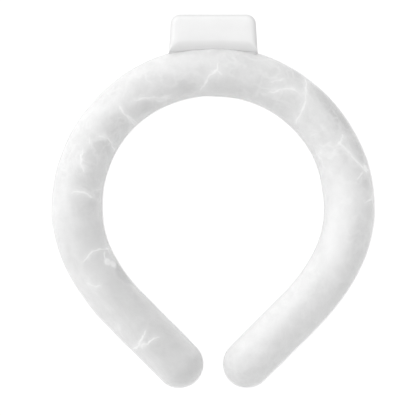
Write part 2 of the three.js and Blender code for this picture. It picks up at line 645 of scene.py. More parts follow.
def new_object(name: str, data: bpy.types.ID) -> bpy.types.Object:
    """Make an object and add it to the scene.

    Args:
        name: The object's name.
        data: Its mesh, light or camera.

    Returns:
        The object.
    """
    made = bpy.data.objects.new(name, data)
    bpy.context.scene.collection.objects.link(made)
    return made


def write_attribute(mesh: bpy.types.Mesh, name: str, numbers: np.ndarray) -> None:
    """Store a number on each point of a mesh."""
    layer = mesh.attributes.get(name) or mesh.attributes.new(name, "FLOAT", "POINT")
    layer.data.foreach_set("value", np.asarray(numbers, dtype=np.float32))


def read_attribute(mesh: bpy.types.Mesh, name: str) -> np.ndarray:
    """Read the number on each point of a mesh.

    Args:
        mesh: The mesh.
        name: The number's name.

    Returns:
        The numbers, in the order of the points.
    """
    numbers = np.empty(len(mesh.vertices), dtype=np.float32)
    mesh.attributes[name].data.foreach_get("value", numbers)
    return numbers.astype(float)


def plain_mesh(piece: bpy.types.Object) -> bpy.types.Object:
    """Turn a piece and its modifiers into one plain mesh.

    Args:
        piece: The object with its modifiers.

    Returns:
        The same object, with the result as its mesh and no modifiers.
    """
    depsgraph = bpy.context.evaluated_depsgraph_get()
    depsgraph.update()
    made = bpy.data.meshes.new_from_object(
        piece.evaluated_get(depsgraph), preserve_all_data_layers=True, depsgraph=depsgraph
    )
    piece.modifiers.clear()
    before = piece.data
    piece.data = made
    made.name = piece.name
    bpy.data.meshes.remove(before)
    return piece


def new_finish(name: str) -> tuple[bpy.types.Material, NodeSheet, bpy.types.NodeSocket]:
    """Start a material.

    Args:
        name: The material's name.

    Returns:
        The material, its empty sheet and the place on the object that its patterns read.
    """
    material = bpy.data.materials.new(name)
    material.use_nodes = True
    sheet = NodeSheet(material.node_tree)
    return material, sheet, sheet.output("ShaderNodeTexCoord", {}, {}, "Object")


class VeinRank(Enum):
    """Which of the gel's two nets of veins a vein is in. Charted veins of one net never meet."""

    MAIN = "main"
    BRANCH = "branch"


@dataclass(frozen=True)
class FrostVein:
    """A white vein where the gel froze last.

    Each point of the route is a share of the half length, negative on the left, and a share of the tube's
    radius from the middle of its top, positive towards the outer side.
    """

    route: tuple[Place, ...]
    strength: float = 0.7
    rank: VeinRank = VeinRank.MAIN
    taper: float = 0.25  # share of its length over which each end fades


@dataclass(frozen=True)
class FrostPoolAndShade:
    """A patch of clearer, darker gel, or of whiter gel where its depth is negative; also painted shade on
    the tube's shaded sides and painted light on its lit side.
    """

    along: float
    across: float
    length: float  # half of it, in metres
    width: float  # half of it, in metres
    depth: float = 1.0


# Veins and pools on the ring's top, charted
CHARTED_VEINS = (
    FrostVein(
        ((0.012, 0.5), (0.012, 0.02), (-0.001, -0.1), (-0.016, -0.36), (-0.025, -0.61), (-0.043, -0.9)),
        0.7,
    ),
    FrostVein(((0.0, -0.08), (0.011, 0.0), (0.024, -0.24)), 0.5, VeinRank.BRANCH),
    FrostVein(((-0.23, -0.1), (-0.191, -0.31), (-0.164, -0.51), (-0.141, -0.67), (-0.11, -0.92)), 0.7),
    FrostVein(
        ((-0.25, 0.2), (-0.25, 0.04), (-0.255, -0.3), (-0.254, -0.73), (-0.256, -0.99)),
        0.85,
        taper=0.15,
    ),
    FrostVein(((-0.254, -0.3), (-0.25, -0.66), (-0.243, -0.97)), 0.6, VeinRank.BRANCH, 0.15),
    FrostVein(
        ((-0.347, -0.02), (-0.333, -0.24), (-0.332, -0.48), (-0.339, -0.72), (-0.354, -0.98)),
        0.8,
        taper=0.15,
    ),
    FrostVein(((-0.348, 0.24), (-0.36, 0.15), (-0.371, -0.04)), 0.45, VeinRank.BRANCH),
    FrostVein(((-0.375, 0.24), (-0.4, 0.18), (-0.42, 0.06), (-0.445, -0.22)), 0.75, VeinRank.BRANCH),
    FrostVein(((-0.499, 0.3), (-0.487, 0.0), (-0.485, -0.36), (-0.496, -0.54), (-0.502, -0.8)), 0.75),
    FrostVein(((-0.485, -0.46), (-0.475, -0.76), (-0.47, -0.99)), 0.45, VeinRank.BRANCH),
    FrostVein(((-0.662, 0.45), (-0.651, 0.0), (-0.642, -0.44), (-0.648, -0.64), (-0.658, -1.0)), 0.7),
    FrostVein(((-0.65, -0.76), (-0.671, -0.65), (-0.69, -0.62)), 0.6, VeinRank.BRANCH),
    FrostVein(((-0.7, 0.6), (-0.717, 0.39), (-0.725, 0.19), (-0.73, -0.07)), 0.5),
    FrostVein(
        ((-0.893, 1.0), (-0.895, 0.72), (-0.893, 0.5), (-0.89, 0.3), (-0.885, 0.05), (-0.878, -0.24)),
        0.85,
    ),
    FrostVein(
        ((-0.92, 0.62), (-0.9, 0.55), (-0.907, 0.28), (-0.909, -0.02), (-0.918, -0.42)),
        0.7,
        VeinRank.BRANCH,
        0.3,
    ),
    FrostVein(
        (
            (0.2, 1.0),
            (0.21, 0.86),
            (0.224, 0.47),
            (0.243, 0.12),
            (0.245, -0.2),
            (0.256, -0.5),
            (0.262, -0.97),
        ),
        0.8,
    ),
    FrostVein(
        ((0.14, -0.52), (0.164, -0.24), (0.182, 0.06), (0.201, 0.24), (0.225, 0.33)),
        0.65,
        VeinRank.BRANCH,
    ),
    FrostVein(((0.136, -0.1), (0.155, 0.18), (0.171, 0.38), (0.159, 0.46)), 0.45),
    FrostVein(
        ((0.352, 0.52), (0.366, 0.27), (0.369, 0.1), (0.376, 0.23), (0.388, 0.33), (0.407, 0.43)),
        0.85,
        taper=0.1,
    ),
    FrostVein(
        ((0.38, 0.26), (0.407, 0.43), (0.428, 0.58), (0.445, 0.81), (0.447, 0.99)),
        1.0,
        VeinRank.BRANCH,
        0.15,
    ),
    FrostVein(((0.446, 0.76), (0.455, 0.48), (0.464, 0.26)), 0.55),
    FrostVein(((0.488, 1.0), (0.505, 0.88), (0.515, 0.68), (0.515, 0.42)), 0.7),
    FrostVein(((0.312, -0.79), (0.314, -0.52), (0.325, -0.32)), 0.4),
    FrostVein(((0.376, -0.9), (0.366, -0.66), (0.369, -0.43)), 0.4),
)
# The large darker pools, most on the inner sides of the crown and the left leg and on the right leg's outer
# side, are partly clearer gel and partly painted shade. The broad whiter patches on the right leg's inner
# side, which faces the key light, are painted light. The small white blobs are frost.
CHARTED_POOLS_AND_SHADE = (
    FrostPoolAndShade(0.05, -0.6, 15 * MM, 7 * MM),
    FrostPoolAndShade(-0.078, -0.5, 9 * MM, 6 * MM, 0.8),
    FrostPoolAndShade(-0.21, -0.62, 9 * MM, 5 * MM, 0.8),
    FrostPoolAndShade(-0.285, -0.3, 9 * MM, 7 * MM, 0.9),
    FrostPoolAndShade(-0.361, -0.5, 7.5 * MM, 6.5 * MM),
    FrostPoolAndShade(-0.397, -0.2, 6 * MM, 6 * MM, 0.9),
    FrostPoolAndShade(-0.455, -0.28, 7.5 * MM, 8 * MM, 1.1),
    FrostPoolAndShade(-0.503, -0.02, 5 * MM, 5 * MM, 0.9),
    FrostPoolAndShade(-0.53, -0.35, 9 * MM, 8.5 * MM, 1.1),
    FrostPoolAndShade(-0.596, -0.42, 10 * MM, 8.5 * MM, 1.1),
    FrostPoolAndShade(-0.66, -0.35, 20 * MM, 9 * MM, 1.15),
    FrostPoolAndShade(-0.684, -0.35, 8 * MM, 6 * MM, 0.9),
    FrostPoolAndShade(-0.735, -0.92, 9 * MM, 7 * MM, 2.0),
    FrostPoolAndShade(-0.79, -0.45, 26 * MM, 11 * MM, 1.45),
    FrostPoolAndShade(-0.93, -0.2, 26 * MM, 13 * MM, 1.5),
    FrostPoolAndShade(-1.0, 0.0, 18 * MM, 13 * MM, 1.45),
    FrostPoolAndShade(0.095, 0.0, 14 * MM, 11 * MM, 0.85),
    FrostPoolAndShade(0.19, 0.8, 9 * MM, 7 * MM, 1.3),
    FrostPoolAndShade(0.195, -0.75, 10 * MM, 6 * MM, 0.9),
    FrostPoolAndShade(0.209, -0.25, 9 * MM, 4.5 * MM, 0.7),
    FrostPoolAndShade(0.3, 0.85, 24 * MM, 8 * MM, 1.9),
    FrostPoolAndShade(0.395, 0.85, 13 * MM, 6.5 * MM, 1.5),
    FrostPoolAndShade(0.468, 0.68, 6 * MM, 4.5 * MM, 0.9),
    FrostPoolAndShade(0.53, 0.75, 8 * MM, 4 * MM, 0.9),
    FrostPoolAndShade(0.7, 0.82, 42 * MM, 6 * MM, 0.8),
    FrostPoolAndShade(-0.686, -0.67, 2.3 * MM, 2.4 * MM, -1.7),
    FrostPoolAndShade(-0.7, -0.82, 2.2 * MM, 2.3 * MM, -1.6),
    FrostPoolAndShade(-0.899, 0.53, 2.4 * MM, 2.4 * MM, -0.75),
    FrostPoolAndShade(0.57, -0.4, 39 * MM, 11 * MM, -0.5),
    FrostPoolAndShade(0.39, -0.5, 14 * MM, 9 * MM, -0.38),
    FrostPoolAndShade(0.25, -0.3, 5 * MM, 4 * MM, 0.7),
    FrostPoolAndShade(-0.14, -0.72, 9 * MM, 2.6 * MM, -0.45),
    FrostPoolAndShade(0.8, -0.75, 52 * MM, 10 * MM, -0.38),
    FrostPoolAndShade(-0.786, 0.42, 4.4 * MM, 2 * MM, -0.4),
    FrostPoolAndShade(-0.833, 0.67, 3 * MM, 2 * MM, -0.35),
    FrostPoolAndShade(0.441, 0.82, 2.6 * MM, 2 * MM, -1.3),
    FrostPoolAndShade(0.383, -0.27, 3.6 * MM, 2.6 * MM, -0.42),
    FrostPoolAndShade(0.322, -0.06, 6 * MM, 1.6 * MM, -0.35),
    FrostPoolAndShade(-0.262, 0.25, 9 * MM, 5 * MM, -0.3),
)


@dataclass(frozen=True)
class VeinRoute:
    """A vein's line on the tube's outside."""

    distance: np.ndarray  # of its points from the nape, signed
    angle: np.ndarray  # of its points round the tube, in radians
    strength: float
    taper: float
    rank: VeinRank


@dataclass(frozen=True)
class HiddenFrost:
    """The lots by which the frost is drawn where no view from above shows it."""

    veins: int = 26
    pools: int = 16
    stagger: Span = (0.2, 0.8)  # where each one starts in its own stretch of the ring
    vein_limit: float = 0.97  # share of the half length that the veins start within
    vein_start: Span = (195, 345)  # degrees round the tube
    vein_bounds: Span = (188, 352)  # degrees round the tube
    vein_lean: float = 0.7  # most radians off its main course at the start
    vein_crossing: float = 0.6  # share of the veins whose main course is round the tube
    vein_steps: tuple[int, int] = (4, 7)
    vein_step: float = 3.4 * MM
    vein_bend: float = 0.55  # most radians at each step
    vein_strength: Span = (0.4, 0.85)
    vein_taper: float = 0.25
    pool_size: Span = (5, 12)  # half its length, in millimetres
    pool_shape: float = 0.7  # its width by its length
    pool_depth: Span = (0.5, 1)
    pool_angle: Span = (3.4, 6.0)  # radians round the tube

    def share(self, dice: random.Random, index: int, count: int, limit: float) -> float:
        """Draw a place in one of the ring's equal stretches, as a share of the half length."""
        return -limit + 2 * limit * (index + dice.uniform(*self.stagger)) / count


@dataclass
class FrostChart:
    """The veins and pools of the frozen gel, with the painted shade and painted light that the pools carry,
    worked out for each point of its mesh.
    """

    ring: RingPath
    veins: tuple[FrostVein, ...] = CHARTED_VEINS
    pools: tuple[FrostPoolAndShade, ...] = CHARTED_POOLS_AND_SHADE
    hidden: HiddenFrost = HiddenFrost()
    seed: int = 17
    roundings: int = 3  # of each route's corners
    sample_step: float = 0.4 * MM
    core_reach: float = 2.1 * MM  # from a vein, as far as its strength is felt
    core_share: float = 0.6  # of that reach, where the strength begins to fall
    halo_reach: float = 1.8 * MM
    most_offset: float = 2 * MM
    left_fade: float = 0.8  # how much of the feathers is gone in each leg
    right_fade: float = 0.4
    leg_span: Span = (0.4, 0.62)  # shares of the half length between which the feathers fade
    pool_height: float = 0.8  # how far a pool reaches into the tube, as a share of the tube's radius
    pool_edge: Span = (0.35, 1.25)  # shares of a pool's size between which it fades
    whitening: float = 2  # how much more than a pool a whiter patch counts

    def write(self, mesh: bpy.types.Mesh) -> None:
        """Store the distances to the veins, their strengths and halo, and the pools with their painted shade
        and painted light, on a mesh.

        Args:
            mesh: The gel's mesh.
        """
        count = len(mesh.vertices)
        places = np.empty(count * 3, dtype=np.float32)
        mesh.vertices.foreach_get("co", places)
        places = places.reshape(-1, 3).astype(float)
        halo = np.zeros(count)
        routes = [self._charted(vein) for vein in self.veins] + self._hidden_routes()
        for rank in VeinRank:
            offset, strength, glow = self._net(places, [route for route in routes if route.rank is rank])
            write_attribute(mesh, rank.value + "_offset", offset)
            write_attribute(mesh, rank.value + "_strength", strength)
            halo = np.maximum(halo, glow)
        write_attribute(mesh, "halo", halo)
        along = read_attribute(mesh, "along") / self.ring.half_length
        fade = np.where(along > 0, self.right_fade, self.left_fade)
        write_attribute(mesh, "feathered", 1 - fade * smooth(np.abs(along), *self.leg_span))
        write_attribute(mesh, "pool", self._pool_depth(places))

    def _charted(self, vein: FrostVein) -> VeinRoute:
        """Lay a charted vein's route on the tube.

        Args:
            vein: The charted vein.

        Returns:
            Its route.
        """
        route = np.array(vein.route)
        angle = np.arccos(np.clip(route[:, 1], -1, 1))
        return VeinRoute(route[:, 0] * self.ring.half_length, angle, vein.strength, vein.taper, vein.rank)

    def _hidden_routes(self) -> list[VeinRoute]:
        """Draw wandering veins for the underside and the flanks.

        Returns:
            Their routes, in each net by turns.
        """
        lots = self.hidden
        dice = random.Random(self.seed)
        low, high = (math.radians(bound) for bound in lots.vein_bounds)
        routes = []
        for i in range(lots.veins):
            share = lots.share(dice, i, lots.veins, lots.vein_limit)
            distance = [share * self.ring.half_length]
            angle = [math.radians(dice.uniform(*lots.vein_start))]
            course = dice.uniform(-lots.vein_lean, lots.vein_lean)
            course += math.pi / 2 if dice.random() < lots.vein_crossing else 0
            for _ in range(dice.randint(*lots.vein_steps)):
                course += dice.uniform(-lots.vein_bend, lots.vein_bend)
                distance.append(distance[-1] + lots.vein_step * math.cos(course))
                angle.append(angle[-1] + lots.vein_step * math.sin(course) / (self.ring.tube_diameter / 2))
            in_reach = np.clip(np.array(angle), low, high)
            rank = VeinRank.MAIN if i % 2 else VeinRank.BRANCH
            strength = dice.uniform(*lots.vein_strength)
            routes.append(VeinRoute(np.array(distance), in_reach, strength, lots.vein_taper, rank))
        return routes

    def _samples(self, route: VeinRoute) -> tuple[np.ndarray, np.ndarray, np.ndarray]:
        """Smooth a route and lay close points on it.

        Args:
            route: The route.

        Returns:
            Places on the tube, sideways directions on its surface, and strengths.
        """
        distance, angle = route.distance, route.angle
        for _ in range(self.roundings):
            distance = cut_corners(distance)
            angle = cut_corners(angle)
        place, normal = self.ring.surface(distance, angle)
        run = np.concatenate([[0], np.cumsum(np.linalg.norm(np.diff(place, axis=0), axis=1))])
        steps = np.arange(0, run[-1], self.sample_step)
        place, normal = self.ring.surface(np.interp(steps, run, distance), np.interp(steps, run, angle))
        ahead = np.gradient(place, axis=0)
        sideways = np.cross(normal, ahead)
        sideways /= np.linalg.norm(sideways, axis=1, keepdims=True)
        share = steps / run[-1]
        fade = np.minimum(share, 1 - share) / route.taper
        return place, sideways, route.strength * np.clip(fade, 0, 1)

    def _net(self, places: np.ndarray, routes: list[VeinRoute]) -> tuple[np.ndarray, np.ndarray, np.ndarray]:
        """Measure one net of veins from each place.

        Args:
            places: The mesh's points.
            routes: The net's routes.

        Returns:
            Signed distance to the nearest vein, its strength where it is near, and its soft halo.
        """
        sampled = [self._samples(route) for route in routes]
        spots, sideways, strengths = (np.concatenate(parts) for parts in zip(*sampled))
        tree = KDTree(len(spots))
        for i, spot in enumerate(spots):
            tree.insert(spot, i)
        tree.balance()
        found = [tree.find(place) for place in places]
        nearest = np.array([index for _, index, _ in found])
        gap = np.array([far for _, _, far in found])
        offset = np.einsum("ij,ij->i", places - spots[nearest], sideways[nearest])
        strength = strengths[nearest]
        near = 1 - smooth(gap, self.core_share * self.core_reach, self.core_reach)
        halo = strength * np.exp(-((gap / self.halo_reach) ** 2))
        return np.clip(offset, -self.most_offset, self.most_offset), strength * near, halo

    def _pool_depth(self, places: np.ndarray) -> np.ndarray:
        """Work out how clear the gel is, and where painted shade darkens it and painted light whitens it.

        Args:
            places: The mesh's points.

        Returns:
            How dark it is at each place, from clearer gel and painted shade: 1 in a full pool, and less than
            0 where it is whiter, from frost and painted light.
        """
        lots = self.hidden
        dice = random.Random(self.seed + 1)
        placed = [(pool, math.acos(max(-1.0, min(1.0, pool.across)))) for pool in self.pools]
        for i in range(lots.pools):
            share = lots.share(dice, i, lots.pools, 1.0)
            size = dice.uniform(*lots.pool_size) * MM
            pool = FrostPoolAndShade(share, 0, size, size * lots.pool_shape, dice.uniform(*lots.pool_depth))
            placed.append((pool, dice.uniform(*lots.pool_angle)))
        depth = np.zeros(len(places))
        whiteness = np.zeros(len(places))
        for pool, angle in placed:
            patch = abs(pool.depth) * (1 - smooth(self._reach(pool, angle, places), *self.pool_edge))
            if pool.depth > 0:
                depth = np.maximum(depth, patch)
            else:
                whiteness = np.maximum(whiteness, patch)
        return depth - self.whitening * whiteness

    def _reach(self, pool: FrostPoolAndShade, angle: float, places: np.ndarray) -> np.ndarray:
        """Measure how far places are from a pool's middle, as a share of its size.

        Args:
            pool: The pool.
            angle: Where its middle is round the tube, in radians.
            places: The mesh's points.

        Returns:
            The shares.
        """
        distance = pool.along * self.ring.half_length
        spot, normal = self.ring.surface(np.array([distance]), np.array([angle]))
        ahead = self.ring.surface(np.array([distance + MM]), np.array([angle]))[0] - spot
        ahead = (ahead / np.linalg.norm(ahead))[0]
        sideways = np.cross(normal[0], ahead)
        away = places - spot[0]
        return np.sqrt(
            (away @ ahead / pool.length) ** 2
            + (away @ sideways / pool.width) ** 2
            + (away @ normal[0] / (self.pool_height * self.ring.tube_diameter / 2)) ** 2
        )


def cut_corners(numbers: np.ndarray) -> np.ndarray:
    """Round a line of numbers by cutting its corners once, with its ends kept.

    Args:
        numbers: The line.

    Returns:
        The rounded line, with about twice as many numbers.
    """
    before, after = numbers[:-1], numbers[1:]
    near, far = 1 - CORNER_CUT, CORNER_CUT
    cut = np.stack([near * before + far * after, far * before + near * after], axis=-1).ravel()
    return np.concatenate([numbers[:1], cut[1:-1], numbers[-1:]])


@dataclass(frozen=True)
class VeinLook:
    """Frost veins as uneven lines, which wander off the charted ones and break."""

    half_width: float = 0.9 * MM  # at full strength
    least_width: float = 0.02 * MM
    thinnest: float = 0.45  # share of the half width
    swell: Noise = Noise(3.1 * MM, 1.0, weight=1.1)
    whitest: float = 0.2  # share of the width within which a vein is full
    wander: Noise = Noise(2.8 * MM, roughness=0.6, weight=3.1 * MM)
    breaks: Noise = Noise(1.3 * MM, roughness=0.7)
    break_span: Span = (0.2, 0.55)
    broken_share: float = 0.5  # how much of a vein is gone where it is broken
    strength_span: Span = (0.02, 0.6)  # from no vein to a full one

    def draw(self, sheet: NodeSheet, place: Source, rank: VeinRank) -> Value:
        """Draw one net of veins from the distances that the mesh carries.

        Args:
            sheet: The sheet to write on.
            place: The place on the object.
            rank: Which net it is.

        Returns:
            How much of a vein there is, from 0 to 1.
        """
        strength = sheet.attribute(rank.value + "_strength")
        wander = sheet.noise(place, self.wander).swing(self.wander.weight)
        whole = sheet.noise(place, self.breaks).rise(*self.break_span)
        gap = abs(sheet.attribute(rank.value + "_offset") + wander)
        swollen = self.thinnest + self.swell.weight * sheet.noise(place, self.swell)
        width = strength * swollen * self.half_width + self.least_width
        line = 1 - gap.rise(width * self.whitest, width)
        shown = (1 - self.broken_share) + self.broken_share * whole
        return line * strength.rise(*self.strength_span) * shown


@dataclass(frozen=True)
class FeatherLook:
    """The thin feathers of frost that run all through the gel, where the cloud leaves it free."""

    warp: Noise = Noise(7 * MM, 3.0, weight=7 * MM)
    ridge: Noise = Noise(8 * MM)
    sharpness: float = 9.0
    ridge_span: Span = (0.35, 1.0)
    free_span: Span = (0.35, 0.6)

    def draw(self, sheet: NodeSheet, place: Source, cloud: Value) -> Value:
        """Draw the feathers.

        Args:
            sheet: The sheet to write on.
            place: The place on the object.
            cloud: The gel's cloud, from 0 to 1.

        Returns:
            How much of a feather there is, from 0 to 1.
        """
        bent = sheet.warped(place, self.warp)
        ridge = 1 - abs(sheet.noise(bent, self.ridge) - 0.5) * self.sharpness
        free = (1.0 - cloud).rise(*self.free_span)
        return ridge.rise(*self.ridge_span) * free * sheet.attribute("feathered")


@dataclass(frozen=True)
class GrainLook:
    """The faint net of ice grains, which shows in patches only."""

    size: float = 3.2 * MM
    edge: float = 0.09  # how wide the net's lines are
    cloud_span: Span = (0.5, 0.68)

    def draw(self, sheet: NodeSheet, place: Source, cloud: Value) -> Value:
        """Draw the net.

        Args:
            sheet: The sheet to write on.
            place: The place on the object.
            cloud: The gel's cloud, from 0 to 1.

        Returns:
            How much of the net there is, from 0 to 1.
        """
        inputs = {"Vector": place, "Scale": 1 / self.size}
        edge = sheet.value("ShaderNodeTexVoronoi", {"feature": "DISTANCE_TO_EDGE"}, inputs, "Distance")
        return (1 - edge.rise(0.0, self.edge)) * cloud.rise(*self.cloud_span)


@dataclass(frozen=True)
class GelFinish:
    """Gel frozen white, marbled with clearer pools and crossed by frost, with painted shade in the pools on
    its shaded sides and painted light in the whiter patches on its lit side.
    """

    pale: float = 0.81
    # Tones of the pools, partly clearer gel and partly painted shade on the tube's shaded sides
    clear: float = 0.765
    deep_pool_and_shade: float = 0.64
    frost: float = 1.0
    warp: Noise = Noise(4.5 * MM, weight=1.6 * MM)
    cloud: Noise = Noise(13 * MM, 3.0, 0.55, weight=0.26)  # a weight here is how much the noise shades
    mottle: Noise = Noise(4.5 * MM, weight=0.14)
    grain: Noise = Noise(0.8 * MM, roughness=0.6, weight=0.11)
    lumps: Noise = Noise(2.2 * MM, roughness=0.6, weight=0.07)
    mottled_rim: float = 0.9  # how much the mottle and the cloud loosen the pools
    cloudy_rim: float = 0.8
    clear_pool_and_shade_span: Span = (0.14, 0.84)  # of the loosened pools, from pale to clear, partly clearer gel and partly painted shade
    deep_pool_and_shade_span: Span = (0.9, 2.0)  # of the loosened pools, from clear to the darkest tone, partly clear gel and partly painted shade
    white_span: Span = (0.15, 1.6)  # of the whiter patches, partly frost and partly painted light, from pale to full frost
    veins: VeinLook = VeinLook()
    feathers: FeatherLook = FeatherLook()
    grains: GrainLook = GrainLook()
    halo_even: float = 0.35  # how much of the halo is even, and how much comes in lumps
    halo_lumps: float = 0.9
    halo_frost: float = 0.62  # how white the halo, the grains, the feathers and the whiter patches are
    grain_frost: float = 0.16
    feather_frost: float = 0.3
    patch_frost_and_light: float = 0.75
    roughness: float = 0.46
    frost_roughness: float = 0.14
    mottle_roughness: float = 0.1
    ior: float = 1.4
    coat: float = 0.2
    coat_roughness: float = 0.38
    coat_ior: float = 1.45
    vein_relief: float = 0.5
    mottle_relief: float = 0.5
    grain_relief: float = 0.12
    relief_height: float = 0.12 * MM
    relief_strength: float = 0.6

    def make(self) -> bpy.types.Material:
        """Write the material.

        Returns:
            The material.
        """
        material, sheet, place = new_finish("frozen_gel")
        bent = sheet.warped(place, self.warp)
        cloud = sheet.noise(bent, self.cloud)
        mottle = sheet.noise(bent, self.mottle)
        grain = sheet.noise(place, self.grain)
        lumps = sheet.noise(place, self.lumps)
        pool = sheet.attribute("pool")
        loose = pool + mottle.swing(self.mottled_rim) + cloud.swing(self.cloudy_rim)

        shades = ((cloud, self.cloud), (mottle, self.mottle), (grain, self.grain), (lumps, self.lumps))
        shade: Source = 1.0
        for noise, look in shades:
            shade = shade + noise.swing(look.weight)
        # Clearer and darker tones in the pools, partly the gel's own clearer patches and partly painted
        # shade
        tone = sheet.mix(loose.rise(*self.clear_pool_and_shade_span), grey(self.pale), grey(self.clear))
        tone = sheet.mix(loose.rise(*self.deep_pool_and_shade_span), tone, grey(self.deep_pool_and_shade))
        tone = sheet.scaled(tone, shade)

        nets = [self.veins.draw(sheet, place, rank) for rank in VeinRank]
        core = nets[0].larger(nets[1])
        halo = sheet.attribute("halo") * (self.halo_even + lumps * self.halo_lumps)
        around = halo * self.halo_frost
        around += self.grains.draw(sheet, bent, cloud) * self.grain_frost
        around += self.feathers.draw(sheet, place, cloud) * self.feather_frost
        # Whiter patches, partly frost and partly painted light
        around += (pool * -1.0).rise(*self.white_span) * self.patch_frost_and_light
        frosted = core.larger(around)
        tone = sheet.mix(frosted.smaller(1.0), tone, grey(self.frost))

        relief = core * self.vein_relief + mottle * self.mottle_relief + grain * self.grain_relief
        rough = self.roughness + frosted * self.frost_roughness + mottle.swing(self.mottle_roughness)
        sheet.surface(
            {
                "Base Color": tone,
                "Roughness": rough,
                "IOR": self.ior,
                "Coat Weight": self.coat,
                "Coat Roughness": self.coat_roughness,
                "Coat IOR": self.coat_ior,
                "Normal": sheet.bump(relief, self.relief_height, self.relief_strength),
            }
        )
        return material


@dataclass(frozen=True)
class FilmFinish:
    """Clear, slightly milky plastic film with a satin surface, greyer and denser along its flanks as painted
    shade that darkens the tube's outline from above.
    """

    milk: float = 0.88
    milk_span: Span = (0.94, 1.05)  # shares of the milk, from thin haze to thick
    alpha: float = 0.07
    flank_shade_milk: float = 0.64
    flank_shade_alpha: float = 0.22
    roughness: float = 0.42
    ior: float = 1.45
    haze: Noise = Noise(9 * MM, 3.0, 0.6)
    rub: Noise = Noise(1.6 * MM, 3.0, 0.65, weight=0.16)
    rub_relief: float = 0.2
    relief_height: float = 0.1 * MM
    relief_strength: float = 0.5

    def make(self) -> bpy.types.Material:
        """Write the material.

        Returns:
            The material.
        """
        material, sheet, place = new_finish("satin_film")
        haze = sheet.noise(place, self.haze)
        rub = sheet.noise(place, self.rub)
        flank_shade = sheet.attribute("flank_shade")
        tone = sheet.mix(haze, *(grey(self.milk * share) for share in self.milk_span))
        # Painted shade: the film is greyer and denser where its surface stands upright, darkening the tube's
        # outline
        tone = sheet.mix(flank_shade, tone, grey(self.flank_shade_milk))
        relief = haze + rub * self.rub_relief
        sheet.surface(
            {
                "Base Color": tone,
                "Roughness": self.roughness + rub.swing(self.rub.weight),
                "IOR": self.ior,
                "Alpha": self.alpha + flank_shade * (self.flank_shade_alpha - self.alpha),
                "Normal": sheet.bump(relief, self.relief_height, self.relief_strength),
            }
        )
        return material


@dataclass(frozen=True)
class CapFinish:
    """White moulded plastic with a satin surface, greyed by painted shade where its faces turn from the flat
    and towards the tube.
    """

    tone: float = 0.93
    tone_span: Span = (0.985, 1.012)  # shares of the tone, along the plastic's flow
    edge_shade_tone: float = 0.74  # painted shade on faces that turn from the flat and towards the tube
    roughness: float = 0.46
    ior: float = 1.46
    gloss: float = 0.35
    flow: Noise = Noise(13 * MM, 3.0, weight=1.5)
    flow_span: Span = (0.3, 0.7)
    peel: Noise = Noise(1.1 * MM, 1.0, weight=0.25)
    scuff: Noise = Noise(3.0 * MM, 4.0, 0.7, weight=0.14)
    relief_height: float = 0.06 * MM
    relief_strength: float = 0.6

    def make(self) -> bpy.types.Material:
        """Write the material.

        Returns:
            The material.
        """
        material, sheet, place = new_finish("moulded_white")
        flow = sheet.noise(place, self.flow)
        peel = sheet.noise(place, self.peel)
        scuff = sheet.noise(place, self.scuff)
        tone = sheet.mix(flow.rise(*self.flow_span), *(grey(self.tone * share) for share in self.tone_span))
        # Painted shade: greyer where the faces turn from the flat and towards the tube
        tone = sheet.mix(sheet.attribute("edge"), tone, grey(self.edge_shade_tone))
        relief = flow * self.flow.weight + peel * self.peel.weight
        sheet.surface(
            {
                "Base Color": tone,
                "Roughness": self.roughness + scuff.swing(self.scuff.weight),
                "IOR": self.ior,
                "Specular IOR Level": self.gloss,
                "Normal": sheet.bump(relief, self.relief_height, self.relief_strength),
            }
        )
        return material


@dataclass
class GelFilledTube:
    """The ring itself: the plastic film and the frozen gel that fills it."""

    ring: RingPath
    tree: TubeTree
    swell: Swell = Swell()
    film_thickness: float = 0.25 * MM
    gel_inset: float = 0.4 * MM
    film_grid: TubeGrid = TubeGrid(steps=300, dome_steps=10, sides=64)
    gel_grid: TubeGrid = TubeGrid(steps=500, dome_steps=16, sides=112)
    flank_shade_span: Span = (0.72, 1.0)  # of the painted flank shade, by how upright the surface stands, from where it starts to where it is full

    def build(self) -> list[bpy.types.Object]:
        """Make the film and the gel.

        Returns:
            The two pieces.
        """
        return [self._film(), self._gel()]

    def _film(self) -> bpy.types.Object:
        """Make the film, a closed tube with a thin wall.

        Returns:
            The film.
        """
        finish = FilmFinish().make()
        film = self.tree.grow("skin_film", self.ring, 0.0, self.film_grid, self.swell, finish)
        outward_faces(film)
        # Mark the painted flank shade, by how upright the surface stands
        level = np.array([1 - abs(vertex.normal.z) for vertex in film.data.vertices])
        write_attribute(film.data, "flank_shade", smooth(level, *self.flank_shade_span))
        wall = film.modifiers.new("wall", "SOLIDIFY")
        wall.thickness = self.film_thickness
        wall.offset = -1
        plain_mesh(film)
        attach(film, BODY)
        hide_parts("skin")
        return film

    def _gel(self) -> bpy.types.Object:
        """Make the gel, with its frost charted on it.

        Returns:
            The gel.
        """
        finish = GelFinish().make()
        gel = self.tree.grow("frozen_gel", self.ring, self.gel_inset, self.gel_grid, self.swell, finish)
        outward_faces(gel)
        FrostChart(self.ring).write(gel.data)
        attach(gel, BODY)
        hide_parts("gel_core")
        return gel


def outward_faces(piece: bpy.types.Object) -> None:
    """Turn all faces of a closed mesh outwards.

    Args:
        piece: The object with the mesh.
    """
    work = bmesh.new()
    work.from_mesh(piece.data)
    bmesh.ops.recalc_face_normals(work, faces=work.faces)
    work.to_mesh(piece.data)
    work.free()


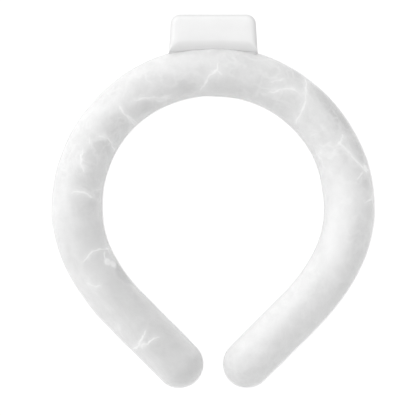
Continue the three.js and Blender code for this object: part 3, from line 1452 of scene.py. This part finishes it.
@dataclass
class PortCap:
    """The moulded cap over the filling port, saddled to the tube."""

    ring: RingPath
    height: float = 18.2 * MM  # above the seat
    base_width: float = 44.2 * MM
    top_width: float = 42 * MM
    depth: float = 15 * MM
    corner: float = 4.8 * MM
    edge_round: float = 3.3 * MM
    seat_depth: float = 2.5 * MM
    base_round: float = 5.5 * MM  # the edges towards the tube
    base_slope: float = 1.6  # 1 for a round edge, 2 for one that starts like a bevel
    base_arch: float = 0.9 * MM  # how much lower the underside's ends are than its middle
    foot_rise: float = 0.2 * MM  # of the foot's upper side above the seat, inside the block
    foot_inset: float = 0.3 * MM
    foot_corner: float = 1.6 * MM
    foot_round: float = 0.3 * MM
    foot_setback: float = 3.0 * MM  # of its flat faces behind the block's
    foot_depth: float = 3.6 * MM  # how far it reaches down the tube's sides
    crown: float = 0.2 * MM  # how far the flat faces bulge
    crown_reach: float = 3 * MM
    least_corner: float = 0.4 * MM
    round_steps: int = 10
    crown_steps: int = 4
    side_steps: int = 4
    foot_steps: int = 4
    saddle_reach: float = 42 * MM  # of the plain tube that the cap is hollowed with
    saddle_sink: float = 0.55 * MM  # how far the cap's hollow lies under the tube's outside
    saddle_sections: int = 57
    saddle_sides: int = 96
    sharp_angle: float = 40  # least angle in degrees of an edge that stays sharp
    edge_shade_span: Span = (0.02, 0.5)  # how far a face turns from the flat, from face to edge, for the painted shade
    underside_shade_share: float = 0.62  # how grey the painted shade on the underside is, as a share of an edge's
    underside_shade_span: Span = (0.1, 0.45)  # how far a face turns towards the tube, for the painted shade there

    def build(self) -> bpy.types.Object:
        """Make the cap.

        Returns:
            The cap's piece.
        """
        cap = self._solid("port_cap_shell", self._block())
        foot = self._solid("port_cap_foot", self._foot())
        tube = self._saddle()
        for partner, operation in ((foot, "UNION"), (tube, "DIFFERENCE")):
            cut = cap.modifiers.new(partner.name, "BOOLEAN")
            cut.operation = operation
            cut.solver = "EXACT"
            cut.object = partner
        plain_mesh(cap)
        for partner in (foot, tube):
            bpy.data.objects.remove(partner)
        self._smooth(cap)
        cap.data.materials.clear()
        cap.data.materials.append(CapFinish().make())
        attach(cap, BODY)
        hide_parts("port_cap")
        return cap

    @property
    def seat(self) -> float:
        """Y of the line where the foot meets the tube at the nape."""
        return self.ring.crest - self.seat_depth

    def _block(self) -> list[list[Vector]]:
        """List the block's loops, from its lower flat face over its edge to its upper one.

        Returns:
            The loops.
        """
        middle = self.ring.nape_radius
        half = self.depth / 2 - self.crown
        rows = []
        for k in range(self.crown_steps, 0, -1):
            share = k / self.crown_steps
            rise = half + self.crown * (1 - (1 - share) ** 2)
            rows.append((rise, self.edge_round + self.crown_reach * share))
        for turn in np.linspace(math.pi / 2, 0, self.round_steps + 1):
            rise = half - self.edge_round * (1 - math.sin(turn))
            rows.append((rise, self.edge_round * (1 - math.cos(turn))))
        below = [(middle - z, inset) for z, inset in rows]
        above = [(middle + z, inset) for z, inset in reversed(rows)]
        return [self._outline(inset, z) for z, inset in below + above]

    def _outline(self, inset: float, z: float) -> list[Vector]:
        """Draw the block's outline at a height.

        Args:
            inset: How far it is set in from its full size.
            z: The height.

        Returns:
            The outline's points.
        """
        lean = math.atan2((self.base_width - self.top_width) / 2, self.height)
        over = max(inset - self.edge_round, 0)
        lift = 1 - (1 - (inset - over) / self.edge_round) ** self.base_slope
        low = self.seat + over + self.base_round * lift
        high = self.seat + self.height - inset
        corner = max(self.corner - inset, self.least_corner)

        def edge(y: float) -> float:
            """Half of the width at Y."""
            return self.base_width / 2 - (y - self.seat) * math.tan(lean) - inset / math.cos(lean)

        turn_y = high - corner
        turn_x = edge(turn_y) - corner / math.cos(lean)
        end_y = low - self.base_arch
        side = np.linspace(end_y, turn_y, self.side_steps + 1)[:-1]
        right = [Vector((edge(y), y, z)) for y in side]
        for turn in np.linspace(lean, math.pi / 2, self.round_steps + 1):
            x, y = turn_x + corner * math.cos(turn), turn_y + corner * math.sin(turn)
            right.append(Vector((x, y, z)))
        left = [Vector((-spot.x, spot.y, z)) for spot in reversed(right)]
        shares = np.linspace(-1, 1, 2 * self.round_steps + 1)[1:-1]
        below = [Vector((share * edge(end_y), low - self.base_arch * share**2, z)) for share in shares]
        return right + left + below

    def _foot(self) -> list[list[Vector]]:
        """List the loops of the foot that stands on the tube, from its underside to its upper edge.

        Returns:
            The loops.
        """
        top = self.seat + self.foot_rise
        rows = [(self.seat - self.foot_depth, 0.0)]
        for turn in np.linspace(0, math.pi / 2, self.foot_steps + 1):
            drop = self.foot_round * (1 - math.sin(turn))
            rows.append((top - drop, self.foot_round * (1 - math.cos(turn))))
        return [self._foot_outline(inset, y) for y, inset in rows]

    def _foot_outline(self, inset: float, y: float) -> list[Vector]:
        """Draw the foot's round-cornered outline.

        Args:
            inset: How far it is set in from its full size.
            y: Where it lies.

        Returns:
            The outline's points.
        """
        half_x = self.base_width / 2 - self.foot_inset - inset
        half_z = self.depth / 2 - self.foot_setback - inset
        corner = self.foot_corner - inset
        spots = []
        # Each corner's sides, and where its quarter turn starts, in half turns
        for side_x, side_z, start in ((1, 1, 0.0), (-1, 1, 0.5), (-1, -1, 1.0), (1, -1, 1.5)):
            for turn in np.linspace(start * math.pi, (start + 0.5) * math.pi, self.round_steps + 1):
                x = side_x * (half_x - corner) + corner * math.cos(turn)
                z = side_z * (half_z - corner) + corner * math.sin(turn)
                spots.append(Vector((x, y, self.ring.nape_radius + z)))
        return spots

    @staticmethod
    def _solid(name: str, loops: list[list[Vector]]) -> bpy.types.Object:
        """Join loops of equal length to a closed solid.

        Args:
            name: The new object's name.
            loops: The loops, from one flat end to the other.

        Returns:
            The solid.
        """
        work = bmesh.new()
        rings = [[work.verts.new(spot) for spot in loop] for loop in loops]
        work.faces.new(rings[0])
        work.faces.new(rings[-1])
        for low, high in zip(rings, rings[1:]):
            for i in range(len(low)):
                j = (i + 1) % len(low)
                work.faces.new((low[i], low[j], high[j], high[i]))
        bmesh.ops.recalc_face_normals(work, faces=work.faces)
        mesh = bpy.data.meshes.new(name)
        work.to_mesh(mesh)
        work.free()
        return new_object(name, mesh)

    def _saddle(self) -> bpy.types.Object:
        """Make the stretch of plain tube that the cap is hollowed with.

        Returns:
            The stretch.
        """
        loops = []
        angles = np.linspace(0, 2 * math.pi, self.saddle_sides, endpoint=False)
        for distance in np.linspace(-self.saddle_reach, self.saddle_reach, self.saddle_sections):
            place, normal = self.ring.surface(np.full(self.saddle_sides, distance), angles)
            loops.append([Vector(spot) for spot in place - normal * self.saddle_sink])
        return self._solid("port_cap_saddle", loops)

    def _smooth(self, cap: bpy.types.Object) -> None:
        """Shade the cap smooth, with its seat's edges kept sharp, and mark where painted shade greys its
        turned faces and its underside.

        Args:
            cap: The cap.
        """
        mesh = cap.data
        mesh.shade_smooth()
        mesh.set_sharp_from_angle(angle=math.radians(self.sharp_angle))
        normals = np.array([vertex.normal for vertex in mesh.vertices])
        # Painted shade from the normals: greyer on faces that turn from the flat, and on the underside that
        # faces the tube
        edge = smooth(1 - np.abs(normals[:, 2]), *self.edge_shade_span)
        underside = self.underside_shade_share * smooth(-normals[:, 1], *self.underside_shade_span)
        write_attribute(mesh, "edge", np.maximum(edge, underside))
        weigh = cap.modifiers.new("even_shading", "WEIGHTED_NORMAL")
        weigh.keep_sharp = True
        plain_mesh(cap)


@dataclass
class Studio:
    """A white light table, a soft key light from the left and the camera."""

    floor_width: float = 6.0
    floor_glow: float = 0.86
    floor_tone: float = 0.22
    floor_level: float = -0.1 * MM
    sky: float = 0.755
    key_azimuth: float = 144.0
    key_elevation: float = 34.0
    key_distance: float = 2.6
    key_width: float = 3.0
    key_power: float = 34.0
    lens: float = 180.0
    sensor: float = 36.0
    view_width: float = 208 * MM  # what the camera sees across at the tube's middle
    aim: Place = (-2.6 * MM, -3.3 * MM)
    clip: Span = (0.05, 20)  # from and to where the camera sees

    def build(self, ring: RingPath) -> None:
        """Make the floor, the lights and the camera.

        Args:
            ring: The ring, whose middle height the camera is set by.
        """
        self._camera(ring.nape_radius)
        self._floor()
        self._key()
        self._sky()
        bpy.context.scene.view_settings.view_transform = "Standard"

    def _camera(self, height: float) -> None:
        """Look straight down on the ring.

        Args:
            height: Height of the tube's middle.
        """
        camera = bpy.data.cameras.new("camera")
        camera.lens = self.lens
        camera.sensor_width = self.sensor
        camera.clip_start, camera.clip_end = self.clip
        stand = new_object("camera", camera)
        stand.location = (*self.aim, height + self.view_width * self.lens / self.sensor)
        bpy.context.scene.camera = stand

    def _floor(self) -> None:
        """Lay the light table."""
        half = self.floor_width / 2
        mesh = bpy.data.meshes.new("light_table")
        sides = ((-1, -1), (1, -1), (1, 1), (-1, 1))
        mesh.from_pydata([(x * half, y * half, self.floor_level) for x, y in sides], [], [(0, 1, 2, 3)])
        floor = new_object("light_table", mesh)
        material, sheet, _ = new_finish("light_table")
        sheet.surface(
            {
                "Base Color": grey(self.floor_tone),
                "Roughness": 1.0,
                "Specular IOR Level": 0.0,
                "Emission Color": grey(1.0),
                "Emission Strength": self.floor_glow,
            }
        )
        mesh.materials.append(material)

    def _key(self) -> None:
        """Hang the key light."""
        light = bpy.data.lights.new("key", "AREA")
        light.energy = self.key_power
        light.size = self.key_width
        lamp = new_object("key", light)
        azimuth, elevation = math.radians(self.key_azimuth), math.radians(self.key_elevation)
        level = math.cos(elevation)
        towards = Vector((math.cos(azimuth) * level, math.sin(azimuth) * level, math.sin(elevation)))
        lamp.location = towards * self.key_distance
        lamp.rotation_euler = towards.to_track_quat("Z", "Y").to_euler()

    def _sky(self) -> None:
        """Light everything evenly from all round."""
        world = bpy.data.worlds.new("sky")
        world.use_nodes = True
        sheet = NodeSheet(world.node_tree)
        glow = sheet.output("ShaderNodeBackground", {}, {"Color": grey(self.sky), "Strength": 1.0})
        sheet.node("ShaderNodeOutputWorld", {}, {"Surface": glow})
        bpy.context.scene.world = world


def report(pieces: Sequence[bpy.types.Object]) -> None:
    """Log each piece with its size in faces and millimetres.

    Args:
        pieces: The pieces.
    """
    for piece in pieces:
        corners = [Vector(corner) for corner in piece.bound_box]
        size = [(max(c[i] for c in corners) - min(c[i] for c in corners)) / MM for i in range(3)]
        LOG.info("%s: %d faces, %.1f x %.1f x %.1f mm", piece.name, len(piece.data.polygons), *size)


def main() -> None:
    """Build the scene."""
    logging.basicConfig(level=logging.INFO, format="%(name)s: %(message)s")
    ring = RingPath()
    Studio().build(ring)
    report(GelFilledTube(ring, TubeTree()).build())
    report([PortCap(ring).build()])


if __name__ == "__main__":
    main()
